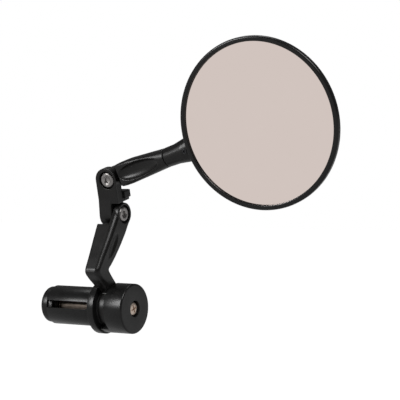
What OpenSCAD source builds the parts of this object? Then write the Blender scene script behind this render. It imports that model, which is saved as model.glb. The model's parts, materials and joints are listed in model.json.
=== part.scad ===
// Bar-end bicycle mirror: an expanding plug, a jointed arm and a round convex mirror.
// X is the axis of the plug, Z is up, and the mirror faces the -Y side. The origin is the
// centre of the flange face that rests against the end of the handlebar.

/* [Plug] */
// Diameter of the expanding sleeve, which goes inside the handlebar
sleeve_d = 19; // [18:0.2:19.6]
// Length of the plug from the flange to its free end
plug_len = 31; // [29:0.5:40]
// Length of the expander's head, which stands out of the sleeve
expander_head_len = 4; // [3:0.5:5]
// Width of each slot in the sleeve
slot_w = 3.6; // [2:0.2:4]

/* [Hub] */
// Diameter of the flange
flange_d = 25.6; // [24.4:0.2:27]
// Diameter of the end cap
cap_d = 24.2; // [24:0.2:25.4]
// Thickness of the flange
flange_t = 3.4; // [3:0.2:4]
// Distance from the flange face to the face of the end cap
collar_len = 19.4; // [18:0.1:22]
// Thickness of the lower arm's ring between the flange and the end cap
ring_t = 5.2; // [4:0.1:5.2]

/* [Arm] */
// Height of the lower pivot above the plug's axis
lower_pivot_z = 45.4; // [44:0.2:47]
// Distance of the lower pivot behind the plug's axis
lower_pivot_y = 4; // [3:0.2:5]
// Lean of the lower arm towards the back
lower_lean = 29; // [28:0.5:30]
// Distance between the two pivots
link_len = 18; // [17.5:0.25:20]
// Lean of the middle link towards the front
link_lean = 14; // [0:1:25]
// Rise of the upper arm above square to the link
arm_rise = 16.7; // [0:0.1:60]
// Distance from the upper pivot to the seam of the swivel
seam_at = 35.1; // [34:0.1:36]

/* [Mirror] */
// Outside diameter of the mirror
mirror_d = 79; // [77:1:80]
// Distance from the upper pivot to the centre of the mirror
mirror_reach = 89.1; // [88.6:0.1:91]
// Turn of the mirror about the arm, which tips its face upwards
mirror_turn = 2; // [0:0.5:5]
// Lean of the mirror's face away from the arm
mirror_lean = 2.6; // [0:0.1:4]
// Width of the rim that shows around the glass
rim_w = 2.4; // [2:0.1:3]
// Radius of curvature of the convex glass
glass_curve = 600; // [400:10:800]

/* [Fits] */
// Radial clearance of a turning fit
run_gap = 0.05; // [0.03:0.01:0.08]
// Gap between faces of pieces that move past each other
move_gap = 0.3; // [0.2:0.05:0.3]

/* [Hidden] */
$fn = 96;
eps = 0.01;

// Plug stations along X
sleeve_end = -(plug_len - expander_head_len);
sleeve_r = sleeve_d / 2;
flange_r = flange_d / 2;
cap_r = cap_d / 2;
sleeve_bore_r = 6.2;
slot_stop = -2;
// Shallow relief at the root of the sleeve, which lets the flange seat squarely
relief_x = -2.4;
relief = 0.1;
slot_first = 83;
expander_small_x = sleeve_end + 3;
expander_mouth_r = 7.6;
expander_small_r = 5;
bolt_r = 2.5;
bolt_hole_r = bolt_r + 0.2;

// Hub stations along X
washer_t = 0.5;
ring_x0 = flange_t + washer_t + run_gap;
ring_x1 = ring_x0 + ring_t;
ring_r = 11;
ring_core_r = 9.7;
boss_r = 5;
tongue_in_r = ring_core_r + 0.2;
window_from = -88;
window_to = 144;
head_seat_x = collar_len - 3.4;

// Pivot screws and nuts, all of one size
screw_r = 2;
screw_head_r = 3.6;
head_well_r = 4.3;
nut_af = 7;
nut_t = 3.2;

// Lower pivot
lap_x = 7.1;
ear_x0 = 7.45;
ear_x1 = 10.8;
ear_r = 5.6;

// Upper pivot and the middle link, measured from the upper pivot
pivot_a_x = 6.4;
half_depth = 5;
link_left = -6.5;
tongue_r = 6.1;
link_right = 4.9;
tab_right = 6;
tab_top = -6.6;
tab_bottom = -10.2;
block_bottom = -(link_len - 6.3);

// Swivel
spigot_r = 3.2;
socket_r = spigot_r + 0.06;
spigot_end = 49;
grub_at = 47.8;
o_ring_at = 38;
seam_r = 4.6;

// Mirror, measured from the centre of the arm's axis in the mirror
rim_r = mirror_d / 2;
glass_r = rim_r - 2.1;
rim_front = 4;
bezel_z = 2.2;
shell_z = 1.7;
glass_back = 1.2;
ledge_z = 0.8;
wall = 1.8;

pivot_b = [lap_x + 0.2, lower_pivot_y, lower_pivot_z];
pivot_a = [
    pivot_a_x,
    lower_pivot_y - link_len * sin(link_lean),
    lower_pivot_z + link_len * cos(link_lean)
];

// ---- Frames and shared shapes ----

// Turns a shape drawn along Z so that it lies along X, starting at x
module along_x(x = 0) {
    translate([x, 0, 0]) rotate([0, 90, 0]) children();
}

// A cylinder along X from x0 to x1
module rod_x(x0, x1, r, r2 = undef) {
    along_x(x0) cylinder(h = x1 - x0, r1 = r, r2 = is_undef(r2) ? r : r2);
}

// Extrudes an outline drawn in Y and Z from x0 to x1
module plate_yz(x0, x1) {
    translate([x0, 0, 0]) rotate([90, 0, 90]) linear_extrude(x1 - x0) children();
}

// Local frame of the middle link: y runs up the link and z towards the front
module link_frame() {
    translate(pivot_a) rotate([90 + link_lean, 0, 0]) children();
}

// Local frame of the upper arm: x runs along the arm and z towards the front
module arm_frame() {
    link_frame() rotate([0, 0, arm_rise]) children();
}

// Local frame of the mirror: z is the way the glass faces
module mirror_frame() {
    arm_frame() translate([mirror_reach, 0, 0]) rotate([-mirror_turn, mirror_lean, 0]) children();
}

// Local frame of the lower pivot's screw: z runs along its axis towards its head
module lower_screw_frame() {
    translate([0, pivot_b.y, pivot_b.z]) rotate([0, 90, 0]) children();
}

// A wedge about the plug's axis between two angles counted from the top towards the front
module sector(from, to, r) {
    steps = 12;
    polygon(concat([[0, 0]], [for (i = [0:steps])
        let (a = from + (to - from) * i / steps) [-r * sin(a), r * cos(a)]]));
}

// A hexagon across its flats
module hexagon(across_flats, h) {
    cylinder(h = h, r = across_flats / sqrt(3), $fn = 6);
}

// A socket screw along z with its head's top at z = 0
module socket_screw(head_h, length) {
    difference() {
        union() {
            translate([0, 0, -head_h]) cylinder(h = head_h - 0.3, r = screw_head_r);
            translate([0, 0, -0.3]) cylinder(h = 0.3, r1 = screw_head_r, r2 = screw_head_r - 0.3);
            translate([0, 0, -length]) cylinder(h = length - head_h + eps, r = screw_r);
        }
        translate([0, 0, -1.1]) hexagon(2.5, 1.2);
    }
}

// A hexagonal lock nut along z from z = 0
module lock_nut(across_flats, h, hole_r) {
    difference() {
        intersection() {
            hexagon(across_flats, h);
            cylinder(h = h, r1 = across_flats / 2 + 0.75, r2 = across_flats / 2 - 0.1);
        }
        translate([0, 0, -1]) cylinder(h = h + 2, r = hole_r);
    }
}

// ---- Plug ----

module sleeve_slots() {
    for (i = [0:2]) rotate([slot_first + 120 * i, 0, 0]) {
        translate([sleeve_end - 1, -slot_w / 2, 0])
            cube([slot_stop - slot_w / 2 - sleeve_end + 1, slot_w, sleeve_r + 1]);
        translate([slot_stop - slot_w / 2, 0, 0]) cylinder(h = sleeve_r + 1, r = slot_w / 2);
    }
}

module expansion_sleeve() {
    taper = (expander_mouth_r - expander_small_r) / (expander_small_x - sleeve_end);
    mouth_r = expander_mouth_r + run_gap;
    color("#202021") difference() {
        union() {
            rod_x(sleeve_end, relief_x, sleeve_r);
            rod_x(relief_x - eps, 0, sleeve_r - relief);
            rod_x(-eps, flange_t, flange_r);
            rod_x(flange_t - eps, ring_x1 - 0.2, boss_r);
        }
        rod_x(sleeve_end - eps, sleeve_end + (mouth_r - sleeve_bore_r) / taper, mouth_r, sleeve_bore_r);
        rod_x(sleeve_end, slot_stop + 1, sleeve_bore_r);
        rod_x(slot_stop, ring_x1 + 1, bolt_hole_r);
        sleeve_slots();
    }
}

module expander_cone() {
    edge = 1.2;
    head_r = sleeve_r - 0.7;
    color("#141415") difference() {
        union() {
            along_x(-plug_len) rotate_extrude() polygon(concat(
                [[0, 0]],
                [for (a = [0:15:90]) [head_r - edge + edge * sin(a), edge - edge * cos(a)]],
                [[head_r, expander_head_len - run_gap], [0, expander_head_len - run_gap]]
            ));
            rod_x(sleeve_end - run_gap - eps, expander_small_x, expander_mouth_r, expander_small_r);
            // Keys that slide in the slots and stop the expander turning with the bolt
            for (i = [0:2]) rotate([slot_first + 120 * i, 0, 0])
                translate([sleeve_end - 1, -(slot_w - 0.4) / 2, 3])
                    cube([3, slot_w - 0.4, sleeve_r - 4.1]);
        }
        rod_x(-plug_len - 1, expander_small_x + 1, bolt_hole_r);
        along_x(-plug_len - 1) hexagon(8.2, 5.2);
    }
}

module expander_nut() {
    color("#b9b9bb") along_x(-plug_len + 0.2) lock_nut(8, 4, bolt_r);
}

module clamp_bolt() {
    head_r = 3.35;
    head_x = head_seat_x + run_gap + washer_t;
    slot = [0.9, 4.2, 1.5];
    color("#c9c9cb") difference() {
        union() {
            rod_x(-plug_len + 0.6, head_x + eps, bolt_r);
            rod_x(head_x, head_x + 1.5, head_r);
            rod_x(head_x + 1.5 - eps, head_x + 2.2, head_r, head_r - 0.9);
        }
        for (a = [20, 110])
            translate([head_x + 0.9, 0, 0]) rotate([a, 0, 0])
                translate([0, -slot.y / 2, -slot.x / 2]) cube([slot.z + 1, slot.y, slot.x]);
    }
}

module bolt_washer() {
    color("#a9a9ab") difference() {
        rod_x(head_seat_x + run_gap, head_seat_x + run_gap + washer_t, 3.7);
        rod_x(head_seat_x - 1, head_seat_x + 2, bolt_r);
    }
}

module friction_ring() {
    color("#3a3a3c") difference() {
        rod_x(flange_t, flange_t + washer_t, ring_core_r - 0.2);
        rod_x(flange_t - 1, flange_t + washer_t + 1, boss_r);
    }
}

// ---- Lower arm ----

// Point on the lower arm, s down from the lower pivot and t towards the front
function arm_point(s, t) = [
    lower_pivot_y - s * sin(lower_lean) - t * cos(lower_lean),
    lower_pivot_z - s * cos(lower_lean) + t * sin(lower_lean)
];

module lower_arm_side() {
    offset(r = 1.2, $fn = 32) offset(delta = -1.2) polygon([
        arm_point(0, 5.6), arm_point(32.5, 5.8),
        [-17.2, 18.2], [-16.1, 16.4], [-13.7, 15],
        [-9, 10.3], [-4, 5], [1.5, 10],
        [-3.8, 14.4], [-9, 18.9],
        arm_point(26.3, -3), arm_point(21, -3.9), arm_point(15.4, -4.6), arm_point(6, -5.5), arm_point(0, -5.6)
    ]);
    translate(arm_point(0, 0)) circle(r = ear_r);
}

module lower_arm_front() {
    polygon([
        [2.3, 0], [1.7, 19], [0.5, 40], [0.5, lower_pivot_z + 10],
        [ear_x1, lower_pivot_z + 10], [ear_x1, 42], [10.4, 30], [9.6, 19], [9.4, 0]
    ]);
}

module lower_arm() {
    shoulder = 8.3;
    corner = 2;
    front_edge = 5.8;
    color("#1c1c1d") difference() {
        union() {
            intersection() {
                plate_yz(0, ear_x1) lower_arm_side();
                translate([0, 40, 0]) rotate([90, 0, 0]) linear_extrude(80) lower_arm_front();
            }
            plate_yz(ring_x0, ring_x1) union() {
                circle(r = ring_core_r);
                intersection() {
                    circle(r = ring_r);
                    sector(window_from + 1, window_to - 1, 2 * ring_r);
                }
            }
        }
        // Room for the middle link, with the shoulder's front corner rounded
        plate_yz(-1, ear_x0) translate(arm_point(0, 0)) rotate(-lower_lean) difference() {
            translate([-20, -shoulder - corner]) square([40, 40]);
            translate([corner - front_edge, -shoulder - corner - 1]) square([40, corner + 1]);
            translate([corner - front_edge, -shoulder - corner]) circle(r = corner);
        }
        // Saddle over the flange and the end cap
        rod_x(-5, ring_x0, flange_r + move_gap);
        rod_x(ring_x1, 30, cap_r + 0.02);
        // Bore that turns on the flange's boss
        rod_x(ring_x0 - 1, ring_x1 + 1, boss_r + run_gap);
        // Screw hole and the well for its head
        lower_screw_frame() {
            cylinder(h = 20, r = screw_r + run_gap);
            translate([0, 0, 8.9]) cylinder(h = 5, r = head_well_r);
        }
        // Oval recess in the outer side
        translate([ear_x1 + 0.3, 0, 0]) hull() for (s = [13, 25])
            translate([s == 13 ? 0 : -0.9, arm_point(s, 0.6).x, arm_point(s, 0.6).y])
                sphere(r = s == 13 ? 2.2 : 1.7, $fn = 32);
    }
}

module end_cap() {
    edge = 0.9;
    skirt_x = flange_t + move_gap;
    depth = collar_len - skirt_x;
    color("#1a1a1b") difference() {
        along_x(skirt_x) rotate_extrude() polygon(concat(
            [[0, 0], [cap_r, 0]],
            [for (a = [0:15:90])
                [cap_r - edge + edge * cos(a), depth - edge + edge * sin(a)]],
            [[0, depth]]
        ));
        // Room for the arm's ring, open at the window and closed by a tongue below
        rod_x(0, ring_x1, tongue_in_r);
        plate_yz(0, ring_x1) sector(window_from, window_to, 2 * cap_r);
        // Bolt hole and the well for the bolt's head
        rod_x(0, collar_len + 1, bolt_r + 0.1);
        rod_x(head_seat_x, collar_len + 1, 4);
    }
}

// ---- Middle link ----

module middle_link() {
    ear = 5.9;
    ear_x = link_left + ear;
    color("#1d1d1e") difference() {
        union() {
            link_frame() {
                // Front ear and the front half of the block
                translate([0, 0, 0.2]) linear_extrude(half_depth - 0.2) union() {
                    translate([ear_x, 0]) circle(r = ear);
                    polygon([
                        [link_left, 0], [link_right, 0], [link_right, block_bottom],
                        [link_left, block_bottom]
                    ]);
                }
                // Rear half of the block, cut back to a shoulder under the upper arm, with a tab
                translate([link_left, block_bottom, -half_depth])
                    cube([link_right - link_left, tab_top - block_bottom, half_depth + 0.2 + eps]);
                translate([0, tab_bottom, -half_depth]) cube([tab_right, tab_top - tab_bottom, half_depth]);
            }
            // Tongue that reaches the lower pivot
            translate([pivot_a_x, 0, 0]) plate_yz(link_left, lap_x - pivot_a_x) union() {
                translate([pivot_b.y, pivot_b.z]) circle(r = tongue_r);
                translate([pivot_b.y, pivot_b.z]) rotate(link_lean)
                    translate([-half_depth, 0]) square([2 * half_depth, link_len + block_bottom + 1]);
            }
        }
        // Hole and head well of the upper pivot
        link_frame() {
            cylinder(h = 20, r = screw_r + run_gap);
            translate([0, 0, 3.1]) cylinder(h = 5, r = head_well_r);
        }
        // Hole and nut pocket of the lower pivot
        lower_screw_frame() {
            translate([0, 0, -5]) cylinder(h = 20, r = screw_r + 0.02);
            translate([0, 0, -5]) rotate([0, 0, link_lean]) hexagon(nut_af + 0.2, 8.5);
        }
    }
}

module lower_pivot_screw() {
    color("#c6c6c8") lower_screw_frame() translate([0, 0, 10.6]) socket_screw(1.65, 9.8);
}

module lower_pivot_nut() {
    color("#b3b3b5") lower_screw_frame() translate([0, 0, 0.25]) rotate([0, 0, link_lean])
        lock_nut(nut_af, nut_t, screw_r);
}

module lower_pivot_washer() {
    color("#8f8f91") lower_screw_frame() translate([0, 0, lap_x]) difference() {
        cylinder(h = 0.3, r = 4.4);
        translate([0, 0, -1]) cylinder(h = 2, r = screw_r);
    }
}

// ---- Upper arm ----

module upper_arm() {
    shoulder = 7;
    color("#1c1c1d") arm_frame() difference() {
        union() {
            // Body: a rounded block at the pivot that runs out to the round seam
            hull() {
                translate([shoulder + 0.6, 0.05, 0]) rotate([0, 90, 0]) linear_extrude(8)
                    offset(r = 2, $fn = 32) square([2 * half_depth - 4, 7.6], center = true);
                translate([seam_at - 0.2, 0, 0]) rotate([0, 90, 0]) cylinder(h = 0.2, r = seam_r, $fn = 48);
            }
            // Tongue behind the link's front ear
            translate([0, 0, -half_depth]) linear_extrude(half_depth - 0.15) union() {
                circle(r = 5.3);
                translate([0, -4.6]) square([shoulder + 3, 9.2]);
            }
            // Spigot that the mirror turns on
            translate([seam_at - 1, 0, 0]) rotate([0, 90, 0]) cylinder(h = spigot_end - seam_at + 1, r = spigot_r);
        }
        // Hole and nut pocket of the pivot
        translate([0, 0, -10]) cylinder(h = 20, r = screw_r + 0.02);
        translate([0, 0, -10]) hexagon(nut_af + 0.2, 8.2);
        // Grooves of the spigot
        for (groove = [[o_ring_at, 1.6, 2.4], [grub_at, 1.9, 2.2]])
            translate([groove[0] - groove[1] / 2, 0, 0]) rotate([0, 90, 0]) difference() {
                cylinder(h = groove[1], r = spigot_r + 1);
                translate([0, 0, -1]) cylinder(h = groove[1] + 2, r = groove[2]);
            }
        // Oval recess in the front
        hull() {
            translate([13, 0.3, half_depth + 1.4]) sphere(r = 3, $fn = 32);
            translate([27.5, 0.1, half_depth + 0.9]) sphere(r = 2.6, $fn = 32);
        }
    }
}

module upper_pivot_screw() {
    color("#c6c6c8") link_frame() translate([0, 0, 4.8]) socket_screw(1.65, 9.4);
}

module upper_pivot_nut() {
    color("#b3b3b5") arm_frame() translate([0, 0, -1.85]) mirror([0, 0, 1])
        lock_nut(nut_af, nut_t - 0.2, screw_r);
}

module upper_pivot_washer() {
    color("#8f8f91") arm_frame() translate([0, 0, -0.15]) difference() {
        cylinder(h = 0.3, r = 4.4);
        translate([0, 0, -1]) cylinder(h = 2, r = screw_r);
    }
}

module swivel_o_ring() {
    color("#2b2b2c") arm_frame() translate([o_ring_at, 0, 0]) rotate([0, 90, 0])
        rotate_extrude() translate([2.8, 0]) circle(r = 0.4, $fn = 24);
}

// ---- Mirror ----

// A disc across the neck, x along the arm, with half-widths across and deep
module neck_slice(x, across, front, back) {
    translate([x, 0, (front - back) / 2]) rotate([0, 90, 0]) linear_extrude(0.2)
        offset(r = min(across, (front + back) / 2) - 0.01, $fn = 32)
            square([front + back - 2 * min(across, (front + back) / 2) + 0.02,
                2 * across - 2 * min(across, (front + back) / 2) + 0.02], center = true);
}

module mirror_neck() {
    hull() {
        neck_slice(seam_at + move_gap, seam_r + 0.05, seam_r, seam_r);
        neck_slice(42, 4.8, 4.6, 4.6);
    }
    hull() {
        neck_slice(42, 4.8, 4.6, 4.6);
        neck_slice(50.6, 6.2, 4.6, 5.2);
    }
    hull() {
        neck_slice(50.6, 6.2, 1, 5.2);
        neck_slice(60, 5, -2, 6.4);
    }
}

// Depth of the shell's back below its rim at radius r: a shallow dome
function back_depth(r, edge_r, height) =
    let (dome_r = (edge_r * edge_r + height * height) / (2 * height))
        sqrt(dome_r * dome_r - r * r) - sqrt(dome_r * dome_r - edge_r * edge_r);

module mirror_shell() {
    dome = 9;
    steps = 10;
    seat_r = rim_r - 5.5;
    back = [for (i = [0:steps]) let (r = rim_r * (1 - i / steps))
        [r, shell_z - back_depth(r, rim_r, dome)]];
    inside = [for (i = [steps:-1:0]) let (r = seat_r * (1 - i / steps))
        [r, shell_z - back_depth(r, rim_r, dome) + wall]];
    color("#1b1b1c") difference() {
        union() {
            mirror_frame() rotate_extrude($fn = 128) polygon(concat(
                [[glass_r + 0.1, ledge_z], [glass_r + 0.1, bezel_z], [rim_r, bezel_z]],
                back, inside, [[seat_r, ledge_z]]
            ));
            difference() {
                arm_frame() mirror_neck();
                mirror_frame() translate([0, 0, -3]) cylinder(h = 20, r = seat_r, $fn = 128);
                mirror_frame() translate([0, 0, bezel_z]) cylinder(h = 20, r = rim_r + 0.3, $fn = 128);
            }
        }
        // Socket for the upper arm's spigot, and the hole of the grub screw
        arm_frame() {
            translate([seam_at, 0, 0]) rotate([0, 90, 0]) cylinder(h = spigot_end + 0.3 - seam_at, r = socket_r);
            translate([grub_at, 0, 0]) cylinder(h = 10, r = 1.27);
        }
    }
}

module mirror_bezel() {
    edge = 0.9;
    color("#161617") mirror_frame() rotate_extrude($fn = 128) polygon(concat(
        [[glass_r + 0.15, bezel_z], [rim_r, bezel_z]],
        [for (a = [0:15:90]) [rim_r - edge + edge * cos(a), rim_front - edge + edge * sin(a)]],
        [[rim_r - rim_w + 0.4, rim_front], [rim_r - rim_w, rim_front - 0.4],
            [rim_r - rim_w, rim_front - 0.85], [glass_r + 0.15, rim_front - 0.9]]
    ));
}

module mirror_glass() {
    edge_z = rim_front - 1;
    steps = 12;
    // Height of the front above its edge, on a sphere of the glass's curvature
    function rise(r) = sqrt(glass_curve * glass_curve - r * r)
        - sqrt(glass_curve * glass_curve - glass_r * glass_r);
    color("#cbbfb9") mirror_frame() rotate_extrude($fn = 128) polygon(concat(
        [[0, glass_back], [glass_r, glass_back]],
        [for (i = [steps:-1:0]) let (r = glass_r * i / steps) [r, edge_z + rise(r)]]
    ));
}

module glass_pad() {
    color("#4a4a4c") mirror_frame() translate([0, 0, ledge_z]) difference() {
        cylinder(h = glass_back - ledge_z, r = glass_r - 0.4, $fn = 128);
        translate([0, 0, -1]) cylinder(h = 3, r = rim_r - 5.3, $fn = 128);
    }
}

module swivel_grub_screw() {
    color("#19191a") arm_frame() translate([grub_at, 0, 0]) difference() {
        union() {
            translate([0, 0, 3.3]) cylinder(h = 1, r = 1.25);
            translate([0, 0, 2.6]) cylinder(h = 0.8, r = 0.8);
        }
        translate([0, 0, 3.7]) hexagon(1.2, 2);
    }
}

expansion_sleeve();
expander_cone();
expander_nut();
clamp_bolt();
bolt_washer();
friction_ring();
lower_arm();
end_cap();
middle_link();
lower_pivot_screw();
lower_pivot_nut();
lower_pivot_washer();
upper_arm();
upper_pivot_screw();
upper_pivot_nut();
upper_pivot_washer();
swivel_o_ring();
mirror_shell();
mirror_bezel();
mirror_glass();
glass_pad();
swivel_grub_screw();
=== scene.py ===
# %% [markdown]
# # A bar-end bicycle mirror
# The mirror has a plug for the handlebar, a cranked arm with two folding joints, and a round convex glass.
# The loaded frame gives every joint and every part's place. The lesson models each moulding at its real
# size around them, in millimetres, and only then sets it down in the frame, in metres.

# %% Load the frame
import json
import math
from contextlib import contextmanager

import bmesh
import bpy
from mathutils import Matrix, Vector


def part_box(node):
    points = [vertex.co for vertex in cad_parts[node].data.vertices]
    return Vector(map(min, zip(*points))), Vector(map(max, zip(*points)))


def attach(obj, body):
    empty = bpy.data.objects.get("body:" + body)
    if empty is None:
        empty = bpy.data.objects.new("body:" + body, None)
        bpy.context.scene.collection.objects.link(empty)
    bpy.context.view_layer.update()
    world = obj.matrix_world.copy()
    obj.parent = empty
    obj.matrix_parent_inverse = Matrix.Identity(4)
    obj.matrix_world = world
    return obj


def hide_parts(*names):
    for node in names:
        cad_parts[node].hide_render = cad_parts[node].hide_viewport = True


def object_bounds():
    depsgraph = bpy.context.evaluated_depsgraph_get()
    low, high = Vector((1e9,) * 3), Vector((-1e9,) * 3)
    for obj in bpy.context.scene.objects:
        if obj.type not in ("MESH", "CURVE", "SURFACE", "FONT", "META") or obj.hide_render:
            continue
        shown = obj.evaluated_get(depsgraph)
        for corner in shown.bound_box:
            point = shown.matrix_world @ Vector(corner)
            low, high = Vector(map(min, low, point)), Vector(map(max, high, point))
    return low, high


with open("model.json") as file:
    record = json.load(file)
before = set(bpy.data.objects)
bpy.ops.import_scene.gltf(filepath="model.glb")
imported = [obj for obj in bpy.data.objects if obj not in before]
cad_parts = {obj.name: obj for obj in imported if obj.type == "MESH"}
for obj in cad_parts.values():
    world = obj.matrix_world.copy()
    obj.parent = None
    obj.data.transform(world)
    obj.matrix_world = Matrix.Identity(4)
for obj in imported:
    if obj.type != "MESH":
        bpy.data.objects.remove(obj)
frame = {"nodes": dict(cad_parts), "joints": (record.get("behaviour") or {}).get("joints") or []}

cad_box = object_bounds()
print("CAD box in mm:", [tuple(round(1000 * c, 1) for c in corner) for corner in cad_box])

# %% [markdown]
# ## Five places to work from
# A moulding is easy to draw when its own axis is a drawing axis. The joints say where those axes are, so each
# body gets a local frame: a matrix that turns a shape drawn in millimetres into its place in metres.
# `up` is local x, y or z as each frame's comment says.

# %% Local frames
TO_METRES = Matrix.Scale(0.001, 4)
joints = {joint["name"]: joint for joint in frame["joints"]}


def frame_of(origin, x_axis, z_axis):
    """A local frame at origin with its x and z axes given, taking millimetres to metres."""
    x, z = Vector(x_axis).normalized(), Vector(z_axis).normalized()
    turn = Matrix((x, z.cross(x), z)).transposed().to_4x4()
    return Matrix.Translation(origin) @ turn @ TO_METRES


lower_pivot = Vector(joints["lower_fold"]["pos_m"])
upper_pivot = Vector(joints["upper_fold"]["pos_m"])
to_front = Vector(joints["upper_fold"]["axis"])
along_arm = Vector(joints["mirror_swivel"]["axis"])
lean = math.radians(29)

# x up, y to the front, z along the plug
HUB = frame_of((0, 0, 0), (0, 0, 1), (1, 0, 0))
# x along the plug, y up the arm, z to the front
LOWER = frame_of((0, lower_pivot.y, lower_pivot.z), (1, 0, 0), (0, -math.cos(lean), math.sin(lean)))
# x along the plug, y up the link, z to the front
LINK = frame_of(upper_pivot, (1, 0, 0), to_front)
# x along the upper arm, z to the front
ARM = frame_of(upper_pivot, along_arm, to_front)
glass_low, glass_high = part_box("mirror_glass")
reach = ((glass_low + glass_high) / 2 - upper_pivot).dot(along_arm)
# The same, at the centre of the mirror, whose face is tipped a little upwards and away from the arm
MIRROR_TURN, MIRROR_LEAN = math.radians(2), math.radians(2.6)
MIRROR = (ARM @ Matrix.Translation((1000 * reach, 0, 0)) @ Matrix.Rotation(MIRROR_LEAN, 4, "Y")
          @ Matrix.Rotation(-MIRROR_TURN, 4, "X"))
print("mirror's centre is", round(1000 * reach, 1), "mm from the upper pivot")

# %% [markdown]
# ## Working in edit mode
# An operator acts on everything that is selected, so each step selects one piece first. The `edit_mode`
# helper opens a piece with all of it selected and closes it again.

# %% Selecting and editing
def only(piece):
    """Selects this piece and nothing else."""
    bpy.ops.object.select_all(action="DESELECT")
    piece.select_set(True)
    bpy.context.view_layer.objects.active = piece


@contextmanager
def edit_mode(piece, element="VERT"):
    """Edits one piece, with all of it selected at the start."""
    only(piece)
    bpy.ops.object.mode_set(mode="EDIT")
    bpy.ops.mesh.select_mode(type=element)
    bpy.ops.mesh.select_all(action="SELECT")
    yield
    bpy.ops.object.mode_set(mode="OBJECT")


def apply_modifier(piece, kind, **settings):
    """Adds one modifier with these settings and applies it."""
    only(piece)
    modifier = piece.modifiers.new(kind.lower(), kind)
    for name, value in settings.items():
        setattr(modifier, name, value)
    bpy.ops.object.modifier_apply(modifier=modifier.name)


# %% [markdown]
# ## Turning a round part
# A sleeve, cap, rim or screw is a round part: its outline spun about its axis. The outline starts as a plane
# merged to one point, is drawn by extruding that point along, and is then spun. An outline that starts and
# ends on the axis stays open there, so that no edge is left inside.

# %% A lathe
def turned(name, outline, steps=96, angle=360):
    """Spins an outline of (height, radius) points about z. A part turn is closed by its end faces."""
    bpy.ops.object.select_all(action="DESELECT")
    bpy.ops.mesh.primitive_plane_add(size=1)
    piece = bpy.context.object
    piece.name = name
    points = [Vector((radius, 0, height)) for height, radius in outline]
    on_axis = points[0].x == 0 and points[-1].x == 0
    following = points[1:] if on_axis else points[1:] + points[:1]
    with edit_mode(piece):
        bpy.ops.mesh.merge(type="CENTER")
        bpy.ops.transform.translate(value=points[0])
        for before, after in zip(points, following):
            bpy.ops.mesh.extrude_region_move(TRANSFORM_OT_translate={"value": after - before})
        bpy.ops.mesh.select_all(action="SELECT")
        bpy.ops.mesh.remove_doubles(threshold=0.001)
        if angle < 360:
            bpy.ops.mesh.edge_face_add()
        bpy.ops.mesh.spin(steps=steps, angle=math.radians(angle), center=(0, 0, 0), axis=(0, 0, 1))
        bpy.ops.mesh.select_all(action="SELECT")
        bpy.ops.mesh.remove_doubles(threshold=0.001)
        bpy.ops.mesh.normals_make_consistent(inside=False)
    return piece


def rounded(corner, radius, start, stop, steps=6):
    """Points of a quarter round on an outline: corner is its centre, and angles run from start to stop."""
    turn = [math.radians(start + (stop - start) * i / steps) for i in range(steps + 1)]
    return [(corner[0] + radius * math.sin(a), corner[1] + radius * math.cos(a)) for a in turn]


# %% [markdown]
# ## Blocks, drums and cuts
# The arms are blocks and drums joined and cut. Boolean modifiers do that as a milling machine would, and
# each one is applied at once, so the next step works on real faces.

# %% Cutters
def block(low, high):
    """A box between two corners."""
    middle = [(a + b) / 2 for a, b in zip(low, high)]
    size = [b - a for a, b in zip(low, high)]
    bpy.ops.object.select_all(action="DESELECT")
    bpy.ops.mesh.primitive_cube_add(size=1, location=middle)
    piece = bpy.context.object
    with edit_mode(piece):
        bpy.ops.transform.resize(value=size, center_override=middle)
    return piece


TURN_TO = {"X": (0, math.pi / 2, 0), "Y": (math.pi / 2, 0, 0), "Z": (0, 0, 0)}


def drum(axis, centre, start, stop, radius, sides=64):
    """A round bar along one local axis, from start to stop on it. centre gives its other two coordinates."""
    place = list(centre)
    place.insert("XYZ".index(axis), (start + stop) / 2)
    bpy.ops.object.select_all(action="DESELECT")
    bpy.ops.mesh.primitive_cylinder_add(
        vertices=sides, radius=radius, depth=stop - start, location=place, rotation=TURN_TO[axis])
    return bpy.context.object


def egg(centre, radii):
    """An ellipsoid, for an oval hollow."""
    bpy.ops.object.select_all(action="DESELECT")
    bpy.ops.mesh.primitive_uv_sphere_add(segments=48, ring_count=24, radius=1, location=centre)
    piece = bpy.context.object
    with edit_mode(piece):
        bpy.ops.transform.resize(value=radii, center_override=centre)
    return piece


def hull(*parts):
    """One piece stretched over the parts."""
    only(parts[0])
    for part in parts[1:]:
        part.select_set(True)
    bpy.ops.object.join()
    piece = bpy.context.object
    bpy.ops.object.transform_apply(location=True, rotation=True, scale=True)
    with edit_mode(piece):
        bpy.ops.mesh.convex_hull()
    return piece


def soft_block(low, high, radius):
    """A block with all its edges rounded."""
    piece = block(low, high)
    with edit_mode(piece, "EDGE"):
        bpy.ops.mesh.bevel(offset=radius, segments=5, affect="EDGES")
    return piece


def combine(piece, operation, *others):
    """Joins others to the piece, or cuts them from it."""
    for other in others:
        apply_modifier(piece, "BOOLEAN", operation=operation, object=other, solver="EXACT")
        bpy.data.objects.remove(other)
    return piece


# %% [markdown]
# ## The skin of a moulding
# A moulded part has no sharp edge anywhere, and where a boss meets a wall the plastic flows together. A voxel
# remesh followed by smoothing gives both at once, which no bevel does on edges that meet at odd angles. Turned
# parts keep their clean rings and get a bevel instead.

# %% Soft edges
def mould(piece, voxel=0.2, passes=8):
    """Melts the piece's edges as in a mould."""
    apply_modifier(piece, "REMESH", mode="VOXEL", voxel_size=voxel, use_smooth_shade=True)
    apply_modifier(piece, "SMOOTH", factor=0.5, iterations=passes)
    return piece


def bevel(piece, width, segments=3, over=35):
    """Rounds each edge that is sharper than over degrees, and shades the rest smooth."""
    apply_modifier(piece, "BEVEL", width=width, segments=segments, limit_method="ANGLE",
                   angle_limit=math.radians(over), harden_normals=False)
    only(piece)
    bpy.ops.object.shade_smooth_by_angle(angle=math.radians(over))
    return piece


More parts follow.
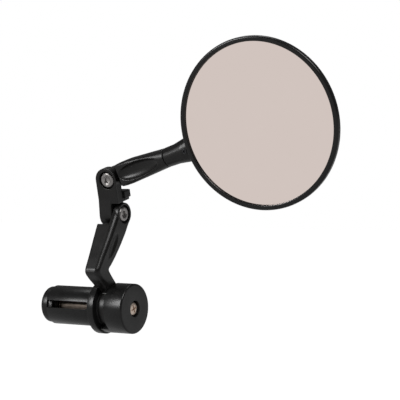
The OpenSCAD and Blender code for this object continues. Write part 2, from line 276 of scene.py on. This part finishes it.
def set_down(piece, place, body, node, material):
    """Sets a finished piece down in the frame, in place of its CAD node."""
    name = piece.name
    piece.matrix_world = place @ piece.matrix_world
    only(piece)
    bpy.ops.object.transform_apply(location=True, rotation=True, scale=True)
    piece.data.materials.clear()
    piece.data.materials.append(material)
    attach(piece, body)
    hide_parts(node)
    print(name, "has", len(piece.data.polygons), "faces")


# %% [markdown]
# ## Shader arithmetic
# A finish is a few noises and waves mixed with plain arithmetic. `Value` wraps a socket so that the arithmetic
# reads as arithmetic, and `Paint.node` makes any other node from its type, settings and inputs.

# %% A small language for finishes
class Value:
    """A number that varies over a surface."""

    def __init__(self, paint, socket):
        self.paint = paint
        self.socket = socket

    def math(self, operation, *others):
        node = self.paint.tree.nodes.new("ShaderNodeMath")
        node.operation = operation
        for slot, item in zip(node.inputs, others):
            self.paint.feed(slot, item)
        return Value(self.paint, node.outputs[0])

    def __add__(self, other):
        return self.math("ADD", self, other)

    def __radd__(self, other):
        return self.math("ADD", other, self)

    def __sub__(self, other):
        return self.math("SUBTRACT", self, other)

    def __rsub__(self, other):
        return self.math("SUBTRACT", other, self)

    def __mul__(self, other):
        return self.math("MULTIPLY", self, other)

    def __rmul__(self, other):
        return self.math("MULTIPLY", other, self)

    def __pow__(self, other):
        return self.math("POWER", self, other)


class Paint:
    """A material under construction, with its Principled shader."""

    def __init__(self, name, **constants):
        self.material = bpy.data.materials.new(name)
        self.material.use_nodes = True
        self.tree = self.material.node_tree
        self.tree.nodes.clear()
        self.output = self.tree.nodes.new("ShaderNodeOutputMaterial")
        self.shader = self.tree.nodes.new("ShaderNodeBsdfPrincipled")
        self.tree.links.new(self.shader.outputs[0], self.output.inputs["Surface"])
        for socket, constant in constants.items():
            self.shader.inputs[socket.replace("_", " ")].default_value = constant

    def feed(self, slot, item):
        """Links a value or a socket to an input, or writes a plain number or colour there."""
        if isinstance(item, Value):
            self.tree.links.new(item.socket, slot)
        elif isinstance(item, bpy.types.NodeSocket):
            self.tree.links.new(item, slot)
        else:
            slot.default_value = item

    def node(self, kind, settings=None, inputs=None, output=0):
        """Any node, from its type, its settings, and what goes into its sockets."""
        node = self.tree.nodes.new(kind)
        for name, value in (settings or {}).items():
            setattr(node, name, value)
        for name, item in (inputs or {}).items():
            self.feed(node.inputs[name], item)
        return Value(self, node.outputs[output])

    def position(self):
        return self.node("ShaderNodeTexCoord", output="Object")

    def noise(self, per_metre, detail=3, stretch=(1, 1, 1)):
        place = self.node("ShaderNodeMapping", inputs={"Vector": self.position(), "Scale": stretch})
        return self.node("ShaderNodeTexNoise", inputs={
            "Vector": place, "Scale": per_metre, "Detail": detail, "Roughness": 0.55})

    def blend(self, factor, dark, light):
        return self.node("ShaderNodeMix", {"data_type": "RGBA"}, {
            "Factor": factor, 6: (*dark, 1), 7: (*light, 1)}, output=2)

    def surface(self, colour=None, roughness=None, height=None, bump=0.1, depth=1e-5):
        """Feeds the shader, height through a Bump node."""
        if colour is not None:
            self.feed(self.shader.inputs["Base Color"], colour)
        if roughness is not None:
            self.feed(self.shader.inputs["Roughness"], roughness)
        if height is not None:
            normal = self.node("ShaderNodeBump", inputs={
                "Height": height, "Strength": bump, "Distance": depth})
            self.feed(self.shader.inputs["Normal"], normal)
        return self.material


# %% [markdown]
# ## Black plastic, three ways
# All the mouldings are the same black nylon. Off the tool it has a satin skin: a cloudy change in gloss from
# the flow of the melt, over a fine grain. The round parts of the hub carry faint rings round the plug's axis,
# which draw fine lines in their highlights, and the rim of the glass is polished.

# %% Black finishes
def black_plastic(name, dark, light, gloss, grain_depth, rings=0.0):
    paint = Paint(name, Specular_IOR_Level=0.24, IOR=1.5)
    clouds = paint.noise(180, detail=2)
    grain = paint.noise(3200, detail=4)
    height = grain
    roughness = gloss + 0.14 * clouds + 0.06 * grain
    if rings:
        along = paint.node("ShaderNodeSeparateXYZ", inputs={"Vector": paint.position()})
        ripple = along.math("SINE", along * (math.tau / rings))
        wobble = paint.noise(2400, detail=2, stretch=(1, 0.02, 0.02))
        height = grain * 0.4 + ripple * 0.35 + wobble * 1.6
        roughness = roughness + 0.05 * ripple
    return paint.surface(paint.blend(clouds, dark, light), roughness, height, 0.5, grain_depth)


satin_black = black_plastic("satin black plastic", (0.003, 0.0029, 0.0028), (0.007, 0.0066, 0.0064), 0.22, 4e-6)
ringed_black = black_plastic(
    "ringed black plastic", (0.003, 0.003, 0.003), (0.006, 0.006, 0.006), 0.2, 1.1e-5, rings=0.0008)
polished_black = black_plastic(
    "polished black plastic", (0.003, 0.003, 0.003), (0.006, 0.006, 0.006), 0.14, 6e-7)

# %% [markdown]
# ## Bright metal and silvered glass
# The screws are plated and catch the light in soft patches. The nuts and washers are dull zinc. The glass is a
# mirror with a warm tint, so it is a metal to the shader, almost without roughness.

# %% Metals, glass and rubber
def plated(name, dark, light, gloss):
    paint = Paint(name, Metallic=1.0)
    patches = paint.noise(700, detail=3)
    scratches = paint.noise(1500, detail=5, stretch=(1, 1, 6))
    return paint.surface(paint.blend(patches, dark, light), gloss + 0.2 * patches + 0.08 * scratches,
                         scratches, 0.4, 1e-5)


screw_steel = plated("screw steel", (0.10, 0.097, 0.094), (0.42, 0.40, 0.39), 0.2)
bolt_steel = plated("bolt steel", (0.50, 0.41, 0.34), (0.86, 0.73, 0.63), 0.36)
zinc_steel = plated("zinc plate", (0.34, 0.34, 0.35), (0.52, 0.52, 0.53), 0.3)
black_steel = plated("blackened steel", (0.02, 0.02, 0.022), (0.05, 0.05, 0.052), 0.35)


def silvered_glass():
    paint = Paint("silvered glass", Metallic=1.0)
    film = paint.noise(40, detail=2)
    tint = paint.blend(film, (0.932, 0.806, 0.751), (0.944, 0.818, 0.763))
    return paint.surface(tint, 0.01 + 0.02 * film)


def matt(name, dark, light, grain):
    paint = Paint(name, Specular_IOR_Level=0.3)
    cells = paint.noise(grain, detail=4)
    return paint.surface(paint.blend(cells, dark, light), 0.7 + 0.2 * cells, cells, 0.6, 3e-5)


mirror_glass = silvered_glass()
rubber = matt("black rubber", (0.008, 0.008, 0.008), (0.02, 0.02, 0.02), 2500)
foam = matt("grey foam", (0.05, 0.05, 0.052), (0.11, 0.11, 0.115), 1800)
print("finishes:", [material.name for material in bpy.data.materials if material.users == 0])

# %% [markdown]
# ## The plug
# The sleeve and its flange are one turned part with three slots cut along it, so that the expander can spread
# it inside the handlebar. Its lengths come from the frame's box of the sleeve.

# %% Sleeve and flange
sleeve_low, sleeve_high = (1000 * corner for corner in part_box("expansion_sleeve"))
ring_low, ring_high = (1000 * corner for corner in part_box("friction_ring"))
cap_low, cap_high = (1000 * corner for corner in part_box("end_cap"))
expander_low, expander_high = (1000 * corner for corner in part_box("expander_cone"))
CAP_R = cap_high.z
FLANGE_R = sleeve_high.z
FLANGE = ring_low.x
RING_TOP = sleeve_high.x + 0.2
SLEEVE_R = expander_high.z + 0.7
BORE_R = 6.2
SLOT_WIDTH = 3.6
SLOT_ANGLES = (83, 203, 323)
MOUTH = sleeve_low.x

sleeve = turned("sleeve_moulding", [
    (MOUTH, 7.65), (MOUTH, SLEEVE_R), (-2.4, SLEEVE_R), (-2.4, SLEEVE_R - 0.1), (0, SLEEVE_R - 0.1),
    (0, FLANGE_R), (FLANGE, FLANGE_R),
    (FLANGE, 5), (sleeve_high.x, 5), (sleeve_high.x, 2.7), (-1, 2.7), (-1, BORE_R), (MOUTH + 2.2, BORE_R)],
    steps=128)
bevel(sleeve, 0.35)


def slot_cutter(angle):
    """One slot: a bar with a round inner end, open at the mouth of the sleeve."""
    round_end = -2 - SLOT_WIDTH / 2
    cutter = block((2, -SLOT_WIDTH / 2, MOUTH - 1), (12, SLOT_WIDTH / 2, round_end))
    combine(cutter, "UNION", drum("X", (0, round_end), 2, 12, SLOT_WIDTH / 2))
    cutter.matrix_world = Matrix.Rotation(math.radians(angle), 4, "Z") @ cutter.matrix_world
    return cutter


combine(sleeve, "DIFFERENCE", *[slot_cutter(angle) for angle in SLOT_ANGLES])
bevel(sleeve, 0.12, segments=2, over=50)
set_down(sleeve, HUB, "plug", "expansion_sleeve", ringed_black)

# %% [markdown]
# ## The expander
# A wedge with a rounded head that closes the sleeve. Its keys slide in the slots and stop it turning when the
# bolt is tightened, and a hexagonal pocket holds the nut.

# %% Expander
END = expander_low.x
HEAD_R = expander_high.z
expander = turned("expander_moulding", [
    (END, 2.7), *rounded((END + 1.2, HEAD_R - 1.2), 1.2, -90, 0), (MOUTH - 0.05, HEAD_R), (MOUTH - 0.05, 7.6),
    (MOUTH + 3, 5), (MOUTH + 3, 2.7)])
bevel(expander, 0.25)
for angle in SLOT_ANGLES:
    key = block((3, -1.6, MOUTH - 1), (7.8, 1.6, MOUTH + 2))
    key.matrix_world = Matrix.Rotation(math.radians(angle), 4, "Z") @ key.matrix_world
    combine(expander, "UNION", key)
combine(expander, "DIFFERENCE", drum("Z", (0, 0), END - 1, END + 4.2, 8.2 / math.sqrt(3), sides=6))
bevel(expander, 0.15, segments=2, over=50)
set_down(expander, HUB, "plug", "expander_cone", satin_black)

# %% [markdown]
# ## The end cap
# The cap closes the hub. It is a thick disc with a well for the bolt's head, and a tongue that reaches past
# the arm's ring, so the slot that the arm turns in is open on one side only.

# %% End cap
CAP_FACE = cap_high.x
WELL_FLOOR = CAP_FACE - 3.4
cap = turned("cap_moulding", [
    (RING_TOP, 2.6), (RING_TOP, CAP_R), *rounded((CAP_FACE - 0.9, CAP_R - 0.9), 0.9, 0, 90),
    (CAP_FACE, 4), (WELL_FLOOR, 4), (WELL_FLOOR, 2.6)], steps=128)
tongue = turned("tongue", [(FLANGE + 0.3, 9.9), (FLANGE + 0.3, CAP_R), (RING_TOP + 0.05, CAP_R),
                           (RING_TOP + 0.05, 9.9)], steps=48, angle=128)
tongue.matrix_world = Matrix.Rotation(math.radians(-88), 4, "Z") @ tongue.matrix_world
combine(cap, "UNION", tongue)
bevel(cap, 0.22, over=40)
set_down(cap, HUB, "lower_arm", "end_cap", ringed_black)

# %% [markdown]
# ## The clamp bolt
# A pan-head bolt with a cross recess. Its smooth shank shows through the sleeve's slot, and only its end is
# threaded, where the nut is.

# %% Clamp bolt
bolt_low, bolt_high = (1000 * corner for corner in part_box("clamp_bolt"))
HEAD_BASE = bolt_high.x - 2.2
PITCH = 0.8
thread = [(bolt_low.x + PITCH * i / 2, 2.5 if i % 2 else 2.15) for i in range(1, 17)]
bolt = turned("bolt_turned", [
    (bolt_low.x, 0), (bolt_low.x, 1.9), *thread, (thread[-1][0] + 0.4, 2.5), (HEAD_BASE, 2.5),
    (HEAD_BASE, 3.35), (HEAD_BASE + 1.4, 3.35), (HEAD_BASE + 1.9, 2.9), (bolt_high.x, 1.9),
    (bolt_high.x, 0)], steps=64)
bevel(bolt, 0.12, segments=2, over=55)
for angle in (20, 110):
    arm = block((-2.1, -0.45, HEAD_BASE + 1.0), (2.1, 0.45, HEAD_BASE + 4))
    arm.matrix_world = Matrix.Rotation(math.radians(angle), 4, "Z") @ arm.matrix_world
    combine(bolt, "DIFFERENCE", arm)
bevel(bolt, 0.1, segments=2, over=60)
set_down(bolt, HUB, "plug", "clamp_bolt", bolt_steel)

# %% [markdown]
# ## The pivot screws
# Both pivots have the same kind of low-head socket screw, turned by one function at two lengths. Its head is
# slightly crowned, with a rim, and the hexagonal socket shows dark in the middle.

# %% Pivot screws
HEAD_R_SCREW = 3.6
HEAD_T = 1.65


def socket_screw(name, length):
    """A screw along z with the top of its head at z = 0."""
    screw = turned(name, [
        (-length, 0), (-length, 2), (-HEAD_T, 2), (-HEAD_T, HEAD_R_SCREW), (-0.45, HEAD_R_SCREW),
        (-0.1, HEAD_R_SCREW - 0.35), (0, HEAD_R_SCREW - 0.9), (0, 2.05), (-0.45, 1.55), (-0.45, 0)], steps=64)
    bevel(screw, 0.1, segments=2, over=30)
    combine(screw, "DIFFERENCE", drum("Z", (0, 0), -1.3, 1, 2.7 / math.sqrt(3), sides=6))
    bevel(screw, 0.08, segments=2, over=55)
    return screw


def screw_place(node, place, axis):
    """The middle of a screw's CAD box, and half the box's length along the axis."""
    low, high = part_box(node)
    middle = (low + high) / 2
    half = abs(Vector(axis).dot(high - low)) / 2
    return middle, half


lower_axis = Vector(joints["lower_fold"]["axis"])
screw_low, screw_high = (1000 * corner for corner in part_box("lower_pivot_screw"))
lower_screw = socket_screw("lower_screw_turned", screw_high.x - screw_low.x)
lower_place = frame_of((screw_high.x / 1000, lower_pivot.y, lower_pivot.z), (0, 0, 1), lower_axis)
set_down(lower_screw, lower_place, "middle_link", "lower_pivot_screw", screw_steel)

upper_screw = socket_screw("upper_screw_turned", 9.4)
upper_place = LINK @ Matrix.Translation((0, 0, 4.8))
set_down(upper_screw, upper_place, "upper_arm", "upper_pivot_screw", screw_steel)

# %% [markdown]
# ## Drawing an arm by its rings
# The cranked lower arm changes its width, depth and direction all the way down. A rounded ring is extruded
# from station to station, and at each one it is straightened, resized, turned and moved.

# %% A ring that travels
def ringed(name, stations):
    """A solid through stations, each (front point, back point, left, right) in the y-z plane and in x."""
    def ring(station):
        front, back, left, right = station
        across = Vector((0, *front)) - Vector((0, *back))
        middle = (Vector((0, *front)) + Vector((0, *back))) / 2 + Vector(((left + right) / 2, 0, 0))
        return middle, right - left, across.length, math.atan2(across.y, across.z)

    middle, width, depth, tilt = ring(stations[0])
    bpy.ops.object.select_all(action="DESELECT")
    bpy.ops.mesh.primitive_plane_add(size=1, rotation=(math.pi / 2, 0, 0))
    piece = bpy.context.object
    piece.name = name
    bpy.ops.object.transform_apply(location=True, rotation=True, scale=True)
    with edit_mode(piece):
        bpy.ops.transform.resize(value=(width, 1, depth), center_override=(0, 0, 0))
        # The corner between the front and the outer side is rounder than the other three
        for outer_front, radius in ((True, 3.0), (False, 0.7)):
            mesh = bmesh.from_edit_mesh(piece.data)
            for vertex in mesh.verts:
                is_outer_front = vertex.co.x > 0.1 * width and vertex.co.z > 0.1 * depth
                is_corner = abs(vertex.co.x) > 0.49 * width and abs(vertex.co.z) > 0.49 * depth
                vertex.select = is_outer_front if outer_front else is_corner
            mesh.select_flush_mode()
            bmesh.update_edit_mesh(piece.data)
            bpy.ops.mesh.bevel(offset=radius, segments=6, affect="VERTICES")
        bpy.ops.mesh.select_all(action="SELECT")
        bpy.ops.transform.rotate(value=tilt, orient_axis="X", center_override=(0, 0, 0))
        bpy.ops.transform.translate(value=middle)
        for station in stations[1:]:
            after, new_width, new_depth, new_tilt = ring(station)
            bpy.ops.mesh.extrude_region_move(TRANSFORM_OT_translate={"value": (0, 0, 0)})
            bpy.ops.transform.rotate(value=-tilt, orient_axis="X", center_override=middle)
            bpy.ops.transform.resize(value=(new_width / width, 1, new_depth / depth), center_override=middle)
            bpy.ops.transform.rotate(value=new_tilt, orient_axis="X", center_override=middle)
            bpy.ops.transform.translate(value=after - middle)
            middle, width, depth, tilt = after, new_width, new_depth, new_tilt
        bpy.ops.mesh.select_all(action="SELECT")
        bpy.ops.mesh.normals_make_consistent(inside=False)
    return piece


# %% [markdown]
# ## The lower arm
# The rings run down from the pivot, round the elbow and into the hub. Then the ear is added, the room for the
# link is cut away above the shoulder, and the foot is hollowed to sit over the flange and the cap.

# %% Lower arm
hub_y = -math.sin(lean) * 1000 * lower_pivot.y - math.cos(lean) * 1000 * lower_pivot.z
hub_z = math.cos(lean) * 1000 * lower_pivot.y - math.sin(lean) * 1000 * lower_pivot.z
EAR_LEFT, EAR_RIGHT = 7.45, 10.8
SHOULDER = -8.3
RING_LOW = ring_high.x + 0.05

lower_arm = ringed("lower_arm_moulding", [
    ((2, 5.6), (2, -5.6), 0.5, EAR_RIGHT),
    ((-8, 5.75), (-8, -5.4), 0.5, EAR_RIGHT),
    ((-15.6, 5.8), (-15.4, -4.7), 0.9, 10.6),
    ((-21.5, 5.8), (-21, -4.0), 1.3, 10.3),
    ((-27, 5.8), (-25.6, -3.3), 1.6, 9.9),
    ((-32.7, 5.75), (-27.9, -2.65), 1.8, 9.7),
    ((-34.3, 5.1), (-28.5, -2.75), 1.9, 9.6),
    ((-35.1, 3.6), (-29.1, -3.6), 2.0, 9.55),
    ((-35.9, 0.4), (-29.8, -5.4), 2.15, 9.5),
    ((-36.6, -4), (-30.4, -7.6), 2.3, 9.4),
    ((-38.2, -9.8), (-31.9, -12.6), 2.4, 9.4)])
combine(lower_arm, "UNION", drum("X", (0, 0), EAR_LEFT, EAR_RIGHT, 5.6))
combine(lower_arm, "DIFFERENCE",
        block((-3, SHOULDER, -12), (EAR_LEFT, 15, 12)),
        block((EAR_LEFT - 1, 0, -12), (15, 15, 12)))
combine(lower_arm, "UNION", drum("X", (0, 0), EAR_LEFT, EAR_RIGHT, 5.6))
combine(lower_arm, "DIFFERENCE",
        drum("X", (hub_y, hub_z), -5, RING_LOW, FLANGE_R + 0.3, sides=128),
        drum("X", (hub_y, hub_z), RING_TOP, 15, CAP_R + 0.02, sides=128))
combine(lower_arm, "UNION", drum("X", (hub_y, hub_z), RING_LOW, RING_TOP, 9.7, sides=96))
combine(lower_arm, "DIFFERENCE",
        drum("X", (hub_y, hub_z), RING_LOW - 1, RING_TOP + 1, 5.05),
        drum("X", (0, 0), 8.9, 14, 4.3),
        drum("X", (0, 0), 5, 14, 2.05),
        egg((EAR_RIGHT + 0.3, -19, 0.7), (1.5, 8.5, 2.3)))
mould(lower_arm, passes=26)
set_down(lower_arm, LOWER, "lower_arm", "lower_arm", satin_black)

# %% [markdown]
# ## The middle link
# The link crosses from one pivot to the other, whose axes are square to each other. A front ear carries the
# upper pivot, a block with a small tab joins the two laps, and a tongue reaches the lower pivot.

# %% Middle link
link_length = 1000 * (upper_pivot - lower_pivot).dot(LINK.col[1].to_3d().normalized())
DEPTH = 5
LEFT, RIGHT, TONGUE_RIGHT = -6.5, 4.9, 7.1 - 1000 * upper_pivot.x
BLOCK_FOOT = 6.3 - link_length

link = drum("Z", (LEFT + 5.9, 0), 0.2, DEPTH, 5.9)
link.name = "link_moulding"
combine(link, "UNION",
        block((LEFT, BLOCK_FOOT, 0.2), (RIGHT, 0, DEPTH)),
        block((LEFT, BLOCK_FOOT, -DEPTH), (RIGHT, -6.6, 0.3)),
        hull(block((LEFT, BLOCK_FOOT, -DEPTH), (TONGUE_RIGHT, BLOCK_FOOT + 2, DEPTH)),
             drum("X", (-link_length, 0), LEFT, TONGUE_RIGHT, 6.1)))
combine(link, "DIFFERENCE",
        drum("Z", (0, 0), 3.1, 8, 4.3),
        drum("Z", (0, 0), -3, 8, 2.05),
        drum("X", (-link_length, 0), LEFT - 1, TONGUE_RIGHT + 1, 2.05),
        drum("X", (-link_length, 0), LEFT - 1, 3.5 - 1000 * upper_pivot.x, 7.2 / math.sqrt(3), sides=6))
mould(link, passes=12)
combine(link, "UNION", soft_block((0, -10.3, -DEPTH), (6, -6.6, -0.1), 0.4))
set_down(link, LINK, "middle_link", "middle_link", satin_black)

# %% [markdown]
# ## The upper arm
# The arm starts as a rounded block at the pivot and runs out to a round end at the seam. A convex hull over
# the two ends gives that change without a step. The oval hollow in its front is an ellipsoid cut.

# %% Upper arm
SEAM = 35.1
SEAM_R = 4.6


upper_arm = hull(soft_block((6.9, -5.5, -4.8), (13, 5.6, 4.8), 0.9),
                 soft_block((8.4, -5.75, -DEPTH), (15.6, 5.85, DEPTH), 1.7),
                 drum("X", (0, 0), SEAM - 1, SEAM, SEAM_R))
upper_arm.name = "upper_arm_moulding"
combine(upper_arm, "UNION",
        drum("Z", (0, 0), -DEPTH, -0.15, 5.3),
        block((0, -4.6, -DEPTH), (10, 4.6, -0.15)),
        drum("X", (0, 0), SEAM - 1, 49, 3.2))
combine(upper_arm, "DIFFERENCE",
        drum("Z", (0, 0), -8, 4, 2.02),
        drum("Z", (0, 0), -8, -1.8, 7.2 / math.sqrt(3), sides=6),
        egg((19.6, -0.1, DEPTH + 0.3), (12.6, 4.1, 2.6)))
mould(upper_arm, passes=14)
set_down(upper_arm, ARM, "upper_arm", "upper_arm", satin_black)

# %% [markdown]
# ## The mirror's shell and neck
# The shell is a shallow dome, turned, with a ledge for the glass. The neck flares from the seam into the back
# of the shell. It is drawn as three hulls, melted together, and joined to the dome.

# %% Shell and neck
GLASS_R = 37.4
RIM_R = 39.5
RIM_FRONT, RIM_BACK, LEDGE = 4, 2.2, 0.8
SHELL_Z, DOME, WALL = 1.7, 9, 1.8


def dome_z(radius, inside=0.0):
    """Height of the dome's outer face at a radius from its middle, or of its inner face."""
    ball = (RIM_R ** 2 + DOME ** 2) / (2 * DOME)
    return SHELL_Z - math.sqrt(ball ** 2 - radius ** 2) + math.sqrt(ball ** 2 - RIM_R ** 2) + inside


SEAT_R = RIM_R - 5.5
STEPS = 14
shell = turned("shell_moulding", [
    *[(dome_z(RIM_R * i / STEPS), RIM_R * i / STEPS) for i in range(STEPS + 1)],
    (RIM_BACK, RIM_R), (RIM_BACK, GLASS_R + 0.1), (LEDGE, GLASS_R + 0.1), (LEDGE, SEAT_R),
    *[(dome_z(SEAT_R * i / STEPS, WALL), SEAT_R * i / STEPS) for i in range(STEPS, -1, -1)]], steps=160)


def oval(x, across, front, back, sides=48):
    """A flat oval across the neck, its depth in front of the axis and behind it given apart."""
    disc = drum("X", (0, 0), x, x + 0.3, 1, sides=sides)
    middle = (x, 0, (front - back) / 2)
    with edit_mode(disc):
        bpy.ops.transform.resize(value=((1, across, (front + back) / 2)), center_override=(x, 0, 0))
        bpy.ops.transform.translate(value=(0, 0, middle[2]))
    return disc


neck = hull(oval(SEAM + 0.3, SEAM_R + 0.05, SEAM_R, SEAM_R), oval(41, 4.8, 4.6, 4.6))
neck.name = "neck"
combine(neck, "UNION",
        hull(oval(41, 4.8, 4.6, 4.6), oval(45.5, 5.4, 4.5, 4.9), oval(51, 6.5, 3.6, 5.4)),
        hull(oval(51, 6.5, 1.0, 5.4), oval(60, 5, -2.5, 6.2)))
mould(neck, voxel=0.22, passes=8)
combine(neck, "DIFFERENCE",
        drum("X", (0, 0), SEAM - 1, 49.3, 3.26),
        drum("Z", (47.8, 0), 0, 10, 1.27, sides=32))
neck.matrix_world = MIRROR.inverted() @ ARM @ neck.matrix_world
combine(neck, "DIFFERENCE",
        drum("Z", (0, 0), RIM_BACK - 0.8, 20, RIM_R + 0.4, sides=160),
        drum("Z", (0, 0), -2.5, 20, SEAT_R, sides=128))
combine(shell, "UNION", neck)
only(shell)
bpy.ops.object.shade_smooth_by_angle(angle=math.radians(40))
set_down(shell, MIRROR, "mirror", "mirror_shell", satin_black)

# %% [markdown]
# ## The rim and the glass
# The rim is a thin turned ring with a rolled front and a lip over the edge of the glass. The glass is turned
# too, with the crown of a convex mirror.

# %% Rim and glass
RIM_W = 2.4
rim = turned("rim_turned", [
    (RIM_BACK, GLASS_R + 0.15), (RIM_BACK, RIM_R),
    *rounded((RIM_FRONT - 0.9, RIM_R - 0.9), 0.9, 0, 90), (RIM_FRONT, RIM_R - RIM_W + 0.5),
    *rounded((RIM_FRONT - 0.45, RIM_R - RIM_W + 0.45), 0.45, 90, 180, steps=3),
    (RIM_FRONT - 0.85, RIM_R - RIM_W), (RIM_FRONT - 0.9, GLASS_R + 0.15)], steps=192)
bevel(rim, 0.08, segments=2, over=60)
set_down(rim, MIRROR, "mirror", "mirror_bezel", polished_black)

CURVE = 600


def crown(radius):
    """Height of the glass at a radius, on a ball of the mirror's curvature."""
    return RIM_FRONT - 1 + math.sqrt(CURVE ** 2 - radius ** 2) - math.sqrt(CURVE ** 2 - GLASS_R ** 2)


glass = turned("glass_turned", [
    (1.2, 0), (1.2, GLASS_R), *[(crown(GLASS_R * i / 16), GLASS_R * i / 16) for i in range(16, -1, -1)]],
    steps=160)
bevel(glass, 0.15, segments=2)
# The bevel stays a crisp edge, so that it doesn't bend the reflection beside it
only(glass)
bpy.ops.object.shade_smooth_by_angle(angle=math.radians(8))
set_down(glass, MIRROR, "mirror", "mirror_glass", mirror_glass)

# %% [markdown]
# ## The grub screw
# A tiny blackened screw in the neck keeps the mirror on its spigot.

# %% Grub screw
grub = turned("grub_turned", [(2.6, 0), (2.6, 0.8), (3.3, 0.8), (3.3, 1.25), (4.3, 1.25), (4.3, 0)], steps=32)
combine(grub, "DIFFERENCE", drum("Z", (0, 0), 3.7, 6, 1.2 / math.sqrt(3), sides=6))
bevel(grub, 0.08, segments=2, over=50)
set_down(grub, ARM @ Matrix.Translation((47.8, 0, 0)), "mirror", "swivel_grub_screw", black_steel)

# %% [markdown]
# ## Finishes for the parts that stay
# The nuts, washers and rings inside already have their real shape, so they only need their finish.

# %% Inside parts
INSIDE = {
    "expander_nut": zinc_steel, "bolt_washer": zinc_steel, "lower_pivot_nut": zinc_steel,
    "lower_pivot_washer": zinc_steel, "upper_pivot_nut": zinc_steel, "upper_pivot_washer": zinc_steel,
    "friction_ring": rubber, "swivel_o_ring": rubber, "glass_pad": foam,
}
for node, material in INSIDE.items():
    part = frame["nodes"][node]
    part.data.materials.clear()
    part.data.materials.append(material)
print("kept from the frame:", sorted(INSIDE))

# %% [markdown]
# ## A white studio
# The part hangs in a white studio, as it does for a catalogue. What the camera and the mirror see of the world
# is pure white, while the light that falls on the part stays at a plain level. The floor is far below and
# takes a soft shadow.

# %% World and floor
def by_ray(tree, seen, mirrored, others):
    """A strength for rays straight from the camera, one for those sent on by gloss or glass, and the rest."""
    rays = tree.nodes.new("ShaderNodeLightPath")
    bounced = tree.nodes.new("ShaderNodeMath")
    bounced.operation = "MAXIMUM"
    tree.links.new(rays.outputs["Is Glossy Ray"], bounced.inputs[0])
    tree.links.new(rays.outputs["Is Transmission Ray"], bounced.inputs[1])
    strength = tree.nodes.new("ShaderNodeMix")
    strength.inputs["A"].default_value, strength.inputs["B"].default_value = others, mirrored
    tree.links.new(bounced.outputs[0], strength.inputs["Factor"])
    choice = tree.nodes.new("ShaderNodeMix")
    choice.inputs["B"].default_value = seen
    tree.links.new(strength.outputs[0], choice.inputs["A"])
    tree.links.new(rays.outputs["Is Camera Ray"], choice.inputs["Factor"])
    return choice.outputs[0]


world = bpy.data.worlds.new("studio")
bpy.context.scene.world = world
world.use_nodes = True
backlight = world.node_tree.nodes["Background"]
backlight.inputs["Color"].default_value = (1, 1, 1, 1)
world.node_tree.links.new(by_ray(world.node_tree, 1.0, 0.12, 0.5), backlight.inputs["Strength"])

FLOOR_Z = -0.22
bpy.ops.object.select_all(action="DESELECT")
bpy.ops.mesh.primitive_plane_add(size=12, location=(0, 0, FLOOR_Z))
floor = bpy.context.object
floor.name = "studio_floor"
paper = bpy.data.materials.new("white floor")
paper.use_nodes = True
floor_tree = paper.node_tree
floor_tree.nodes.clear()
sheet = floor_tree.nodes.new("ShaderNodeBsdfDiffuse")
sheet.inputs["Color"].default_value = (0.7, 0.7, 0.7, 1)
glow = floor_tree.nodes.new("ShaderNodeEmission")
floor_tree.links.new(by_ray(floor_tree, 0.66, 0.68, 0.0), glow.inputs["Strength"])
added = floor_tree.nodes.new("ShaderNodeAddShader")
floor_tree.links.new(sheet.outputs[0], added.inputs[0])
floor_tree.links.new(glow.outputs[0], added.inputs[1])
# In a reflection the floor is one even tone, so that the glass shows no hot spot
evened = floor_tree.nodes.new("ShaderNodeMixShader")
floor_tree.links.new(by_ray(floor_tree, 0.0, 1.0, 0.0), evened.inputs[0])
floor_tree.links.new(added.outputs[0], evened.inputs[1])
floor_tree.links.new(glow.outputs[0], evened.inputs[2])
floor_output = floor_tree.nodes.new("ShaderNodeOutputMaterial")
floor_tree.links.new(evened.outputs[0], floor_output.inputs["Surface"])
floor.data.materials.append(paper)

# %% [markdown]
# ## Lamps
# A tall softbox at the left draws the bright band along the hub and the arm's front edge. A softbox overhead
# lights the tops of the arms, and a weak one at the right keeps the far edges from going out.

# %% Softboxes
part_middle = (cad_box[0] + cad_box[1]) / 2


def softbox(name, direction, distance, width, height, watts):
    """An area lamp that faces the part from a direction."""
    lamp = bpy.data.lights.new(name, "AREA")
    lamp.shape = "RECTANGLE"
    lamp.size, lamp.size_y, lamp.energy = width, height, watts
    holder = bpy.data.objects.new(name, lamp)
    bpy.context.scene.collection.objects.link(holder)
    back = Vector(direction).normalized()
    holder.location = part_middle + back * distance
    holder.rotation_mode = "QUATERNION"
    holder.rotation_quaternion = back.to_track_quat("Z", "Y")


softbox("key softbox", (-0.52, -0.774, 0.33), 0.8, 0.22, 0.3, 4.8)
softbox("ridge softbox", (0.52, -0.4, 0.75), 0.8, 0.4, 0.26, 4.2)
softbox("top softbox", (-0.35, 0.25, 1.0), 0.8, 0.4, 0.3, 2.2)
softbox("right softbox", (0.8, 0.75, -0.05), 0.9, 0.25, 0.3, 0.3)

# %% [markdown]
# ## The camera
# A long lens, level with the mirror and turned a third of a right angle round the hub, so that the cap, the
# side of the sleeve and the glass all show.

# %% Camera
TURN, TILT = math.radians(31.39), math.radians(1.01)
DISTANCE = 0.6828
right = Vector((math.cos(TURN), math.sin(TURN), 0))
back = Vector((math.sin(TURN) * math.cos(TILT), -math.cos(TURN) * math.cos(TILT), math.sin(TILT)))
over = back.cross(right)
lens = bpy.data.cameras.new("camera")
lens.lens, lens.sensor_width = 126, 36
lens.clip_start, lens.clip_end = 0.05, 20
camera = bpy.data.objects.new("camera", lens)
bpy.context.scene.collection.objects.link(camera)
stand = Matrix((right, over, back)).transposed().to_4x4()
stand.translation = 0.04776 * right + 0.05216 * over + DISTANCE * back
camera.matrix_world = stand
bpy.context.scene.camera = camera
bpy.context.scene.view_settings.view_transform = "Standard"
